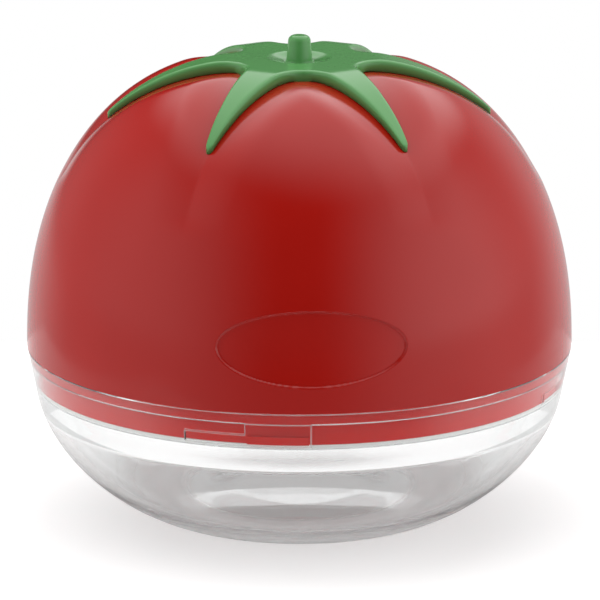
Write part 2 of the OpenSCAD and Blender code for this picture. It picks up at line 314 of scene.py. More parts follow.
class KeeperStage(bpy.types.PropertyGroup):
    """Camera, floor and studio light."""

    distance: length("Distance", "Distance from the camera to the keeper", 1.0)
    elevation: angle("Elevation", "Height of the camera as an angle", 14.43)
    look_z: length("Look height", "Height that the elevation is measured from", 0.05)
    aim_x: length("Aim across", "Point across the axis at the picture's middle", 0.00013)
    aim_z: length("Aim height", "Height at the picture's middle", 0.04455)
    view_w: length("View width", "Width that the picture covers at that distance", 0.1257)
    floor_half: length("Floor", "Half the width of the floor", 0.2)
    floor_front: length("Floor front", "How far the floor reaches in front of the keeper", 0.09)
    floor_back: length("Floor back", "How far the floor reaches behind the keeper's axis", 0.13)
    floor_lift: number("Floor lift", "Plain white added to the floor as it is seen", 0.42)
    # Painted light on the floor seen through the bowl: less under the foot than beside it
    painted_light_under_foot: number("Floor under foot", "White added to the floor seen through the bowl's foot", 0.15)
    painted_light_beside_foot: number("Floor beside foot", "White added to the floor seen through the bowl's wall", 0.22)
    floor_white: number("Floor white", "Lightness of the floor", 0.78)
    ambient: number("Ambient", "Level of light from all round, which reflections don't show", 0.05)
    left_light: number("Left wall", "Level of the left wall in reflections", 0.88)
    left_behind: number("Left wall's end", "Level of the left wall behind the keeper", 0.52)
    right_light: number("Right wall", "Level of the right wall in reflections", 1.48)
    right_behind: number("Right wall's end", "Level of the right wall behind the keeper", 0.66)
    edge_light: number("Edge light", "Level of the gap at the back right in reflections", 0.35)
    dim_light: number("Dim walls", "Level of the front and back in reflections", 0.02)
    table_near: number("Table in front", "Level of the table in front of the floor in reflections", 0.3)
    table_far: number("Table behind", "Level of the table behind the floor in reflections", 0.65)
    table_shine: number("Table shine", "Share of the walls' level that the table shows", 0.4)
    left_spread: number("Left light", "Level of soft light from the left", 1.95)
    right_spread: number("Right light", "Level of soft light from the right", 2.2)
    sky: number("Sky", "Level of light from above the front, which reflections don't show", 0.38)
    backdrop: number("Backdrop", "Level of the backdrop as the clear bowl shows it", 0.85)
    top_light: number("Top panel", "Level of the panel overhead in reflections", 1.5)
    top_w: length("Panel width", "Width of the panel overhead", 0.95)
    top_l: length("Panel length", "Length of the panel from front to back", 1.57)
    top_x: length("Panel across", "How far the panel's middle lies to the right", 0.1)
    top_y: length("Panel back", "How far the panel's middle lies behind the keeper", 0.59)
    top_rise: length("Panel rise", "Height of the panel above the keeper", 0.56)
    top_soft: number("Panel edge", "Softness of the panel's edge as a share of its half width", 0.7)
    top_spread: number("Top light", "Level of soft light from the lamp overhead", 1.4)


def smoothstep(low, high, value):
    """Rises smoothly from 0 at low to 1 at high."""
    t = np.clip((value - low) / (high - low), 0.0, 1.0)
    return t * t * (3.0 - 2.0 * t)


def soft_min(a, b, soft):
    """The lesser of two values, with the crossing rounded off over a distance."""
    h = np.clip(soft - np.abs(a - b), 0.0, None) / soft
    return np.minimum(a, b) - h * h * soft / 4.0


def circle_through(p, q, s):
    """Centre and radius of the circle through three points."""
    u, v = q - p, s - p
    d = 2.0 * (u[0] * v[1] - u[1] * v[0])
    c = np.array([v[1] * u.dot(u) - u[1] * v.dot(v), u[0] * v.dot(v) - v[0] * u.dot(u)]) / d
    return p + c, float(np.hypot(*c))


def cubic(a, a_handle, b, b_handle, steps):
    """Points along a cubic curve from a to b with handles given as offsets."""
    t = np.linspace(0.0, 1.0, steps + 1)[:, None]
    s = 1.0 - t
    p1, p2 = np.add(a, a_handle), np.add(b, b_handle)
    return s**3 * np.array(a) + 3 * s * s * t * p1 + 3 * s * t * t * p2 + t**3 * np.array(b)


def arc(centre, radius, start, end, steps):
    """Points along an arc between two angles in degrees."""
    a = np.radians(np.linspace(start, end, steps + 1))
    return np.stack([centre[0] + radius * np.cos(a), centre[1] + radius * np.sin(a)], axis=1)


class Form:
    """Radii, heights and curves that follow from the sizes in the panel."""

    def __init__(self, scene):
        bowl, lock, lid = scene.keeper_bowl, scene.keeper_lock, scene.keeper_lid
        calyx, seal = scene.keeper_calyx, scene.keeper_seal
        self.lid, self.calyx = lid, calyx
        self.rim_r, self.rim_h = bowl.rim_d / 2, bowl.rim_h
        self.lip_in_r = self.rim_r - lock.lip_t
        self.collar_r = self.lip_in_r - lock.run_gap
        self.band_in_r = self.lip_in_r - lock.ledge_w
        self.skirt_r = self.band_in_r - lock.run_gap
        self.skirt_in_r = self.skirt_r - lid.skirt_t
        self.lug_r = self.skirt_r + lock.lug_out
        self.slot_r = self.lug_r + lock.run_gap
        self.shelf_r = self.band_in_r - lock.shelf_w
        self.seal_leg_r = self.skirt_in_r - lock.run_gap
        self.seal_in_r = self.seal_leg_r - seal.leg_t
        self.ledge_z = self.rim_h - lock.ledge_drop
        self.collar_z = self.ledge_z + lock.run_gap
        self.skirt_z = self.rim_h - lid.skirt_h
        self.seal_z = self.skirt_z - seal.thick
        self.lug_top_z = self.skirt_z + lock.lug_h
        self.slot_z = self.skirt_z - lock.run_gap
        self.roof_z = self.lug_top_z + lock.run_gap
        self.lug_half = lock.lug_w / self.lug_r / 2
        self.entry_half = self.lug_half + lock.end_gap / self.lug_r
        self.lug_az = [lock.lug_az + i * math.tau / lock.lugs for i in range(lock.lugs)]
        self.crown_r = lid.crown_d / 2
        self.crown_z = self.rim_h + lid.dome_h
        self.seat_z = self.crown_z - lid.furrow_depth - calyx.seat_gap
        self.seat_r = calyx.web_r + calyx.side_gap
        self.sepal_az = [lid.azimuth + (i + 0.5) * math.tau / calyx.sepals for i in range(calyx.sepals)]
        self.set_furrow()

    def set_furrow(self):
        """Arcs of the furrows' bottoms and of the sepals' tops, and the rise of a furrow's sides."""
        lid, calyx = self.lid, self.calyx
        depth = lid.furrow_depth
        end = self.angle_at(self.rim_r - lid.furrow_stop)
        middle_a = (math.pi / 2 + end) / 2
        top = self.dome_point(math.pi / 2, 0.0, -depth)
        middle = self.dome_point(middle_a, -depth, -depth)
        foot = self.dome_point(end, 0.0, 0.0)
        self.furrow_c, self.furrow_bottom_r = circle_through(top, middle, foot)
        self.furrow_rise = math.tan(lid.furrow_lean)
        self.furrow_end = math.atan2(*(foot - self.furrow_c)[::-1])
        self.hub_z = self.crown_z + calyx.hub_rise
        hub = np.array([calyx.hub_flat_r, self.hub_z])
        tip = self.dome_point(self.angle_at(calyx.span / 2), 0.0, 0.0)
        self.sepal_c, self.sepal_r = circle_through(hub, self.dome_point(middle_a, 0.0, 0.0), tip)

    def dome_point(self, a, out, up):
        """Points of the dome's profile at angle a from rim to crown, moved out and up."""
        r = self.crown_r + (self.rim_r + out - self.crown_r) * np.cos(a)
        z = self.rim_h + (self.lid.dome_h + up) * np.sin(a) ** (2 / self.lid.fullness)
        return np.stack([r, z], axis=-1)

    def angle_at(self, r):
        """The profile's angle at a radius."""
        return math.acos((r - self.crown_r) / (self.rim_r - self.crown_r))

    def dome_angle(self, z):
        """The profile's angle at a height."""
        return math.asin(((z - self.rim_h) / self.lid.dome_h) ** (self.lid.fullness / 2))


def around(segments):
    """Azimuths and kinds of the columns over a full turn, where each segment has its own end columns."""
    azimuths, kinds = [], []
    for start, end, kind, step in segments:
        cells = max(1, math.ceil((end - start) / step))
        azimuths.extend(np.linspace(start, end, cells + 1))
        kinds.extend([kind] * (cells + 1))
    return np.array(azimuths), kinds


def turned(points, azimuths):
    """Profile points (columns, rows, 2) set out at each column's azimuth, counted from the front."""
    az = azimuths[:, None]
    r, z = points[..., 0], points[..., 1]
    return np.stack([r * np.sin(az), -r * np.cos(az), z], axis=-1)


def loft(rings):
    """Points and quads of a skin over closed sections that follow each other in a closed loop."""
    columns, rows, _ = rings.shape
    here = np.arange(columns * rows).reshape(columns, rows)
    ahead = np.roll(here, -1, axis=0)
    quads = np.stack([here, ahead, np.roll(ahead, -1, axis=1), np.roll(here, -1, axis=1)], axis=-1)
    return rings.reshape(-1, 3), quads.reshape(-1, 4)


def add_piece(name, points, faces, material):
    """A smooth closed mesh object from points and faces, with doubled points merged."""
    mesh = bpy.data.meshes.new(name)
    mesh.from_pydata(points.tolist(), [], [list(f) for f in faces])
    bm = bmesh.new()
    bm.from_mesh(mesh)
    bmesh.ops.remove_doubles(bm, verts=bm.verts, dist=MERGE)
    bmesh.ops.dissolve_degenerate(bm, dist=MERGE, edges=bm.edges)
    bmesh.ops.delete(bm, geom=[e for e in bm.edges if not e.link_faces], context="EDGES")
    bmesh.ops.recalc_face_normals(bm, faces=bm.faces)
    if bm.calc_volume(signed=True) < 0:
        bmesh.ops.reverse_faces(bm, faces=bm.faces)
    open_edges = [e for e in bm.edges if len(e.link_faces) != 2]
    if open_edges:
        first = open_edges[0].verts[0].co
        raise RuntimeError(f"{name} has {len(open_edges)} edges that don't close, first at {first}")
    for face in bm.faces:
        face.smooth = True
    bm.to_mesh(mesh)
    bm.free()
    mesh.materials.append(material)
    piece = bpy.data.objects.new(name, mesh)
    bpy.context.scene.collection.objects.link(piece)
    return piece


def round_edges(piece, radius, material=-1):
    """Rounds the piece's sharp edges, in a finish of their own where one is named."""
    bevel = piece.modifiers.new("Rounded edges", "BEVEL")
    bevel.width = radius
    bevel.segments = EDGE_STEPS
    bevel.limit_method = "ANGLE"
    bevel.angle_limit = SHARP
    bevel.harden_normals = True
    bevel.material = material


def place(piece, body, node):
    """Lets a piece ride on its body in place of its node, which it hides."""
    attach(piece, body)
    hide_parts(node)


def rgba(values):
    """A colour with full alpha."""
    return (*values, 1.0)


def shade(values, factor):
    """A colour made lighter or darker."""
    return rgba([min(1.0, v * factor) for v in values])


class Value:
    """A shader socket that takes part in Python arithmetic."""

    def __init__(self, shader, socket):
        self.shader, self.socket = shader, socket

    def math(self, operation, *others):
        """A Math node on this value and others."""
        inputs = dict(enumerate((self,) + others))
        return self.shader.node("ShaderNodeMath", {"operation": operation}, inputs)

    def __add__(self, other):
        return self.math("ADD", other)

    def __mul__(self, other):
        return self.math("MULTIPLY", other)

    def __truediv__(self, other):
        return self.math("DIVIDE", other)

    def __sub__(self, other):
        return self.math("SUBTRACT", other)

    def __rsub__(self, other):
        return self.shader.node("ShaderNodeMath", {"operation": "SUBTRACT"}, {0: other, 1: self})

    __radd__ = __add__
    __rmul__ = __mul__


class Shader:
    """A node tree with one way to add any node."""

    def __init__(self, tree):
        self.tree = tree
        tree.nodes.clear()

    def node(self, kind, settings=None, inputs=None, output=0):
        """Adds a node, sets it up, fills its sockets and returns one output as a value."""
        made = self.tree.nodes.new(kind)
        for name, value in (settings or {}).items():
            setattr(made, name, value)
        for key, value in (inputs or {}).items():
            if isinstance(value, Value):
                self.tree.links.new(value.socket, made.inputs[key])
            else:
                made.inputs[key].default_value = value
        return Value(self, made.outputs[output])

    def mix_colour(self, factor, first, second):
        """Blends two colours by a factor."""
        return self.node("ShaderNodeMix", {"data_type": "RGBA"}, {0: factor, 6: first, 7: second}, output=2)

    def mottled(self, factor, base, low, high=1.0):
        """A colour between two shades of a base."""
        return self.mix_colour(factor, shade(base, low), shade(base, high))

    def spot(self):
        """A point's place in the piece's own metres."""
        return self.node("ShaderNodeTexCoord", output="Object")

    def share(self, vector, axis):
        """A vector's share along an axis."""
        return self.node("ShaderNodeSeparateXYZ", None, {0: vector}, output=axis)

    def noise(self, scale, detail=3.0):
        """Noise from 0 to 1 over the piece's own metres."""
        inputs = {"Vector": self.spot(), "Scale": scale, "Detail": detail}
        return self.node("ShaderNodeTexNoise", None, inputs)

    def ramp(self, value, low, high):
        """Rises smoothly from 0 at low to 1 at high."""
        smooth = {"interpolation_type": "SMOOTHSTEP"}
        return self.node("ShaderNodeMapRange", smooth, {0: value, 1: low, 2: high})

    def ray(self, *names):
        """1 for rays of the named kinds, else 0."""
        value = None
        for name in names:
            one = self.node("ShaderNodeLightPath", output=name)
            value = one if value is None else value.math("MAXIMUM", one)
        return value

    def from_axis(self, point):
        """Distance of a point from the upright axis."""
        x, y = (self.share(point, axis) for axis in "XY")
        return (x * x + y * y).math("SQRT")

    def bump(self, height, strength, distance):
        """A normal from a height."""
        inputs = {"Height": height, "Strength": strength, "Distance": distance}
        return self.node("ShaderNodeBump", None, inputs)

    def matt(self, tone, lift=rgba([0.0] * 3)):
        """A surface with no gloss, which can look lighter than its light makes it."""
        plain = {"Roughness": 1.0, "Specular IOR Level": 0.0, "Emission Strength": 1.0}
        inputs = {"Base Color": tone, "Emission Color": lift, **plain}
        return self.node("ShaderNodeBsdfPrincipled", None, inputs)

    def let_through(self, share, surface, tint):
        """Lets a share of the light pass through a surface, faintly tinted."""
        passing = self.node("ShaderNodeBsdfTransparent", None, {"Color": shade(tint, PASSING_TINT)})
        return self.node("ShaderNodeMixShader", None, {0: share, 1: surface, 2: passing})

    def output(self, surface):
        """Joins a shader to the material's output."""
        made = self.tree.nodes.new("ShaderNodeOutputMaterial")
        self.tree.links.new(surface.socket, made.inputs["Surface"])


def new_material(name):
    """An empty material and the shader that fills it."""
    material = bpy.data.materials.new(name)
    material.use_nodes = True
    return material, Shader(material.node_tree)


def gloss_plastic(name, base, roughness, thin=None, painted_light_below=0.0):
    """Moulded glossy plastic with faint flow marks and a fine skin, painted lighter below a height as
    painted light.
    """
    material, shader = new_material(name)
    flow = shader.noise(FLOW_SCALE, detail=2.0)
    skin = shader.noise(SKIN_SCALE, detail=2.0)
    tone = shader.mottled(flow, base, *FLOW_SHADES)
    # Painted light: below the given height the tone turns to the lighter colour
    if thin:
        above = shader.ramp(shader.share(shader.spot(), "Z"), painted_light_below - SKIRT_PAINTED_LIGHT_FADE, painted_light_below)
        tone = shader.mix_colour(above, rgba(thin), tone)
    surface = shader.node(
        "ShaderNodeBsdfPrincipled",
        None,
        {
            "Base Color": tone,
            "Roughness": roughness + (flow - 0.5) * FLOW_GLOSS + (skin - 0.5) * SKIN_GLOSS,
            "IOR": PLASTIC_IOR,
            "Normal": shader.bump(skin, PLASTIC_GRAIN, GRAIN_DEPTH),
        },
    )
    shader.output(surface)
    return material


def clear_plastic(name, finish, foot_r):
    """Clear polished plastic that lets light through, with faint haze, milky around the foot where a
    painted glow is added.
    """
    material, shader = new_material(name)
    tint, roughness = finish.clear, finish.clear_gloss
    haze = shader.noise(HAZE_SCALE, detail=4.0)
    body = shader.node(
        "ShaderNodeBsdfPrincipled",
        None,
        {
            "Base Color": shader.mottled(haze, tint, HAZE_SHADE),
            "Roughness": roughness * (CLEAR_LEAST + haze * HAZE_GLOSS),
            "IOR": CLEAR_IOR,
            "Transmission Weight": 1.0,
        },
    )
    # The milk glows with a painted light, set by the haze's glow
    milk = shader.matt(shader.mottled(haze, tint, MILK_SHADE), shade(tint, finish.painted_haze_glow))
    spot = shader.spot()
    low = 1 - shader.ramp(shader.share(spot, "Z"), HAZE_LOW, HAZE_HIGH)
    milky = shader.ramp(shader.from_axis(spot), foot_r * HAZE_START, foot_r) * low * finish.base_haze
    body = shader.node("ShaderNodeMixShader", None, {0: milky, 1: body, 2: milk})
    shader.output(shader.let_through(shader.ray("Is Shadow Ray", "Is Diffuse Ray"), body, tint))
    return material


def painted_edge_highlight(name, tint):
    """The bowl's rounded edges in a pale matt finish: painted highlights along them."""
    material, shader = new_material(name)
    grain = shader.noise(PAINTED_HIGHLIGHT_SCALE)
    matt = shader.matt(shader.mottled(grain, tint, PAINTED_HIGHLIGHT_SHADE))
    through = shader.ray("Is Shadow Ray", "Is Diffuse Ray")
    through = through.math("MAXIMUM", grain * PAINTED_HIGHLIGHT_VARIES + PAINTED_HIGHLIGHT_PASSING)
    shader.output(shader.let_through(through, matt, tint))
    return material


def seal_rubber(name, base):
    """Soft pale rubber with a fine matt grain."""
    material, shader = new_material(name)
    grain = shader.noise(RUBBER_SCALE, detail=4.0)
    surface = shader.node(
        "ShaderNodeBsdfPrincipled",
        None,
        {
            "Base Color": shader.mottled(grain, base, RUBBER_SHADE),
            "Roughness": RUBBER_ROUGH + grain * RUBBER_VARIES,
            "Normal": shader.bump(grain, RUBBER_GRAIN, GRAIN_DEPTH),
        },
    )
    shader.output(surface)
    return material


def bowl_sections(form, bowl):
    """Closed half sections of the bowl, one for each kind of column."""
    lean = np.array([-math.sin(bowl.band_lean), -math.cos(bowl.band_lean)])
    lip_z = form.rim_h - bowl.rim_gap
    band_z = form.rim_h - bowl.band_h
    band_r = form.rim_r - bowl.band_h * math.tan(bowl.band_lean)
    foot_r, floor_r = bowl.foot_d / 2, bowl.floor_d / 2
    ring_in_r = foot_r - bowl.foot_ring
    level = np.array([bowl.foot_run, 0.0])
    outside = cubic((band_r, band_z), lean * bowl.wall_run, (foot_r, 0.0), level, OUTSIDE_STEPS)
    crease = np.array([form.shelf_r - bowl.inner_lean, form.seal_z - bowl.inner_drop])
    below_crease = np.array(CREASE_WAY) * bowl.wall_run * CREASE_RUN
    inside = cubic(crease, below_crease, (floor_r, bowl.floor_t), level, INSIDE_STEPS)
    straight = [(form.shelf_r, form.seal_z), crease + CREASE_LEAD, crease]
    under_r = np.linspace(ring_in_r, 0.0, HOLLOW_STEPS)
    hollow = smoothstep(ring_in_r, ring_in_r * HOLLOW_LEVEL, under_r)
    under = np.stack([under_r, bowl.foot_hollow * hollow], axis=1)
    over = [(r, bowl.floor_t) for r in np.linspace(0.0, floor_r, FLOOR_STEPS)[:-1]]
    within = [*straight, *inside[1:]]
    shell = [(form.lip_in_r, lip_z), (form.rim_r, lip_z), *outside, *under, *over, *within[::-1]]
    inner, outer = form.band_in_r, form.slot_r
    walls = {
        "plain": (inner, inner, inner, inner),
        "run": (inner, inner, outer, outer),
        "entry": (outer, outer, outer, outer),
    }
    sections = {}
    for kind, (ledge_r, lintel_r, roof_r, base_r) in walls.items():
        slot = [
            (inner, form.seal_z),
            (inner, form.slot_z),
            (base_r, form.slot_z),
            (roof_r, form.roof_z),
            (lintel_r, form.roof_z),
            (ledge_r, form.ledge_z),
            (outer, form.ledge_z),
            (form.lip_in_r, form.ledge_z),
        ]
        sections[kind] = np.array([*shell, *slot])
    return sections


class KEEPER_OT_bowl(bpy.types.Operator):
    """Builds the clear bowl with its ledge and lock slots"""

    bl_idname = "keeper.bowl"
    bl_label = "Bowl"

    def execute(self, context):
        scene = context.scene
        form = Form(scene)
        sections = bowl_sections(form, scene.keeper_bowl)
        pitch = math.tau / scene.keeper_lock.lugs
        segments = []
        for az in form.lug_az:
            run_start = az - form.entry_half - scene.keeper_lock.turn
            segments.append((run_start, az - form.entry_half, "run", BOWL_STEP))
            segments.append((az - form.entry_half, az + form.entry_half, "entry", BOWL_STEP))
            segments.append((az + form.entry_half, run_start + pitch, "plain", BOWL_STEP))
        azimuths, kinds = around(segments)
        points = np.stack([sections[kind] for kind in kinds])
        finish = scene.keeper_finish
        foot_r = scene.keeper_bowl.foot_d / 2
        material = clear_plastic("clear_plastic", finish, foot_r)
        piece = add_piece("clear_bowl", *loft(turned(points, azimuths)), material)
        # The rounded edges take a pale matt finish: painted highlights
        piece.data.materials.append(painted_edge_highlight("painted_edge_highlight", finish.clear))
        round_edges(piece, scene.keeper_bowl.edge, material=1)
        place(piece, "bowl", "bowl")
        return {"FINISHED"}


class KEEPER_OT_seal(bpy.types.Operator):
    """Builds the soft ring under the skirt"""

    bl_idname = "keeper.seal"
    bl_label = "Seal ring"

    def execute(self, context):
        scene = context.scene
        form, seal = Form(scene), scene.keeper_seal
        leg_z = form.skirt_z + seal.leg_h
        section = np.array([
            (form.seal_in_r, form.seal_z),
            (form.skirt_r, form.seal_z),
            (form.skirt_r, form.skirt_z),
            (form.seal_leg_r, form.skirt_z),
            (form.seal_leg_r, leg_z),
            (form.seal_in_r, leg_z),
        ])
        azimuths, _ = around([(0.0, math.tau, "ring", SEAL_STEP)])
        points = np.broadcast_to(section, (len(azimuths), *section.shape))
        material = seal_rubber("seal_rubber", scene.keeper_finish.seal)
        piece = add_piece("soft_seal", *loft(turned(points, azimuths)), material)
        round_edges(piece, seal.edge)
        place(piece, "seal", "seal_ring")
        return {"FINISHED"}


def dome_rows(form):
    """Rows of the plain dome from the peg's hole to the rim, close together at the oval."""
    lid = form.lid
    middle = form.rim_h + lid.badge_up
    reach = lid.badge_h / 2 + 2 * lid.badge_soft
    low, high = form.dome_angle(middle - reach), form.dome_angle(middle + reach)
    heights = np.arange(middle + reach, middle - reach, -lid.badge_soft / 2)
    angles = np.concatenate([
        np.linspace(math.pi / 2, high, FLANK_ROWS)[:-1],
        [form.dome_angle(z) for z in heights],
        np.linspace(low, 0.0, RIM_ROWS),
    ])
    hole_r = form.calyx.peg_d / 2 + form.calyx.seat_gap
    seat = np.linspace(hole_r, form.seat_r - lid.seat_soft / 2, SEAT_ROWS)
    slope = form.seat_r + lid.seat_soft * np.linspace(*SLOPE_SPAN, SLOPE_ROWS)
    crown = np.linspace(form.seat_r + lid.seat_soft, form.crown_r, CROWN_ROWS)[:-1]
    flat = np.concatenate([seat, slope, crown])
    flat = np.stack([flat, np.full(len(flat), form.crown_z)], axis=1)
    return np.concatenate([flat, form.dome_point(angles, 0.0, 0.0)])


def press_oval(form, r, z, turn):
    """Sinks the bare oval into the dome and returns the new radii and heights."""
    lid = form.lid
    slope = np.stack([np.gradient(r), np.gradient(z)])
    normal_z, normal_r = slope / np.maximum(np.hypot(*slope), MERGE)
    half_w, half_h = lid.badge_w / 2, lid.badge_h / 2
    across = r * np.sin(turn - lid.azimuth)
    up = np.broadcast_to(z - form.rim_h - lid.badge_up, across.shape)
    size = np.hypot(across / half_w, up / half_h)
    steepness = np.maximum(np.hypot(across / half_w**2, up / half_h**2), MERGE)
    inside = (1.0 - size) * size / steepness
    floor = lid.badge_depth * (1.0 + lid.badge_dish * (1.0 - size**2))
    sink = floor * smoothstep(-lid.badge_soft / 2, lid.badge_soft / 2, inside)
    sink = sink * (np.cos(turn - lid.azimuth) > 0.0)
    return r + normal_r * sink, z - normal_z * sink


def dome_skin(form, azimuths):
    """Outer skin of the dome with the oval, the furrows and the calyx's seat pressed in."""
    lid = form.lid
    rows = dome_rows(form)
    turn = azimuths[:, None]
    plain = rows[::-1] - form.furrow_c
    plain_bearing = np.arctan2(plain[:, 1], plain[:, 0])
    plain_reach = np.hypot(plain[:, 0], plain[:, 1])
    r, z = press_oval(form, rows[:, 0], rows[:, 1], turn)
    x, y = r * np.sin(turn), -r * np.cos(turn)
    c_r, c_z = form.furrow_c
    for az in form.sepal_az:
        along = x * math.sin(az) - y * math.cos(az)
        across = x * math.cos(az) + y * math.sin(az)
        reach = np.hypot(along - c_r, z - c_z)
        cut = form.furrow_bottom_r + form.furrow_rise * np.abs(across)
        bearing = np.arctan2(z - c_z, along - c_r)
        near = smoothstep(form.furrow_end - FURROW_BEFORE, form.furrow_end + FURROW_AFTER, bearing)
        near = near * smoothstep(0.0, form.crown_r / 2, along)
        depth = np.interp(bearing, plain_bearing, plain_reach) - form.furrow_bottom_r
        shallow = 1.0 - np.clip(depth / lid.furrow_depth, 0.0, 1.0)
        soft = lid.furrow_soft * (1.0 + lid.furrow_fade * shallow)
        scale = 1.0 + near * (soft_min(reach, cut, soft) / reach - 1.0)
        along, z = c_r + (along - c_r) * scale, c_z + (z - c_z) * scale
        x = along * math.sin(az) + across * math.cos(az)
        y = across * math.sin(az) - along * math.cos(az)
    seat_low, seat_high = form.seat_r - lid.seat_soft / 2, form.seat_r + lid.seat_soft / 2
    seat = smoothstep(seat_low, seat_high, np.hypot(x, y)) * (form.crown_z - form.seat_z) + form.seat_z
    return np.stack([x, y, np.where(np.hypot(x, y) < seat_high, np.minimum(z, seat), z)], axis=-1)


def lid_sections(form):
    """The rest of the lid's section, from the rim's underside to the hole, for each kind of column."""
    lid, calyx = form.lid, form.calyx
    inner_top_z = form.seat_z - lid.wall
    inner_foot_z = form.rim_h + form.rim_r - lid.wall - form.skirt_in_r
    hole_r = calyx.peg_d / 2 + calyx.seat_gap
    inner_angles = np.linspace(0.0, math.pi / 2, INNER_ROWS)
    inner = form.dome_point(inner_angles, -lid.wall, inner_top_z - form.crown_z)
    inner = inner[inner[:, 1] > inner_foot_z]
    inner_crown = [(r, inner_top_z) for r in np.linspace(form.crown_r, hole_r, INNER_CROWN_ROWS)[1:]]
    sections = {}
    for kind, lug_r in (("plain", form.skirt_r), ("lug", form.lug_r)):
        skirt = [
            (form.collar_r, form.rim_h),
            (form.collar_r, form.collar_z),
            (form.skirt_r, form.collar_z),
            (form.skirt_r, form.lug_top_z),
            (lug_r, form.lug_top_z),
            (lug_r, form.skirt_z),
            (form.skirt_r, form.skirt_z),
            (form.skirt_in_r, form.skirt_z),
            (form.skirt_in_r, form.rim_h),
        ]
        sections[kind] = np.array([*skirt, *inner, *inner_crown])
    return sections


class KEEPER_OT_dome(bpy.types.Operator):
    """Builds the red dome lid with its furrows, bare oval, skirt and lugs"""

    bl_idname = "keeper.dome"
    bl_label = "Dome lid"

    def execute(self, context):
        scene = context.scene
        form, lid = Form(scene), scene.keeper_lid
        oval_half = lid.badge_w / 2 / (form.rim_r - lid.badge_depth) + OVAL_MARGIN
        oval = [lid.azimuth - oval_half, lid.azimuth + oval_half]
        edges = [az + side * form.lug_half for az in form.lug_az for side in (-1, 1)]
        breaks = sorted(math.remainder(az, math.tau) for az in (*oval, *edges, *form.sepal_az))
        breaks.append(breaks[0] + math.tau)
        segments = []
        for start, end in zip(breaks, breaks[1:]):
            middle = (start + end) / 2
            on_lug = any(abs(math.remainder(middle - az, math.tau)) < form.lug_half for az in form.lug_az)
            step = OVAL_STEP if oval[0] < middle < oval[1] else DOME_STEP
            segments.append((start, end, "lug" if on_lug else "plain", step))
        azimuths, kinds = around(segments)
        sections = lid_sections(form)
        rest = turned(np.stack([sections[kind] for kind in kinds]), azimuths)
        rings = np.concatenate([dome_skin(form, azimuths), rest], axis=1)
        finish = scene.keeper_finish
        # The skirt below the rim gets the lighter colour, painted light
        material = gloss_plastic("red_plastic", finish.red, finish.red_gloss, finish.skirt, form.rim_h)
        piece = add_piece("red_dome", *loft(rings), material)
        round_edges(piece, lid.edge)
        place(piece, "lid", "dome_lid")
        return {"FINISHED"}


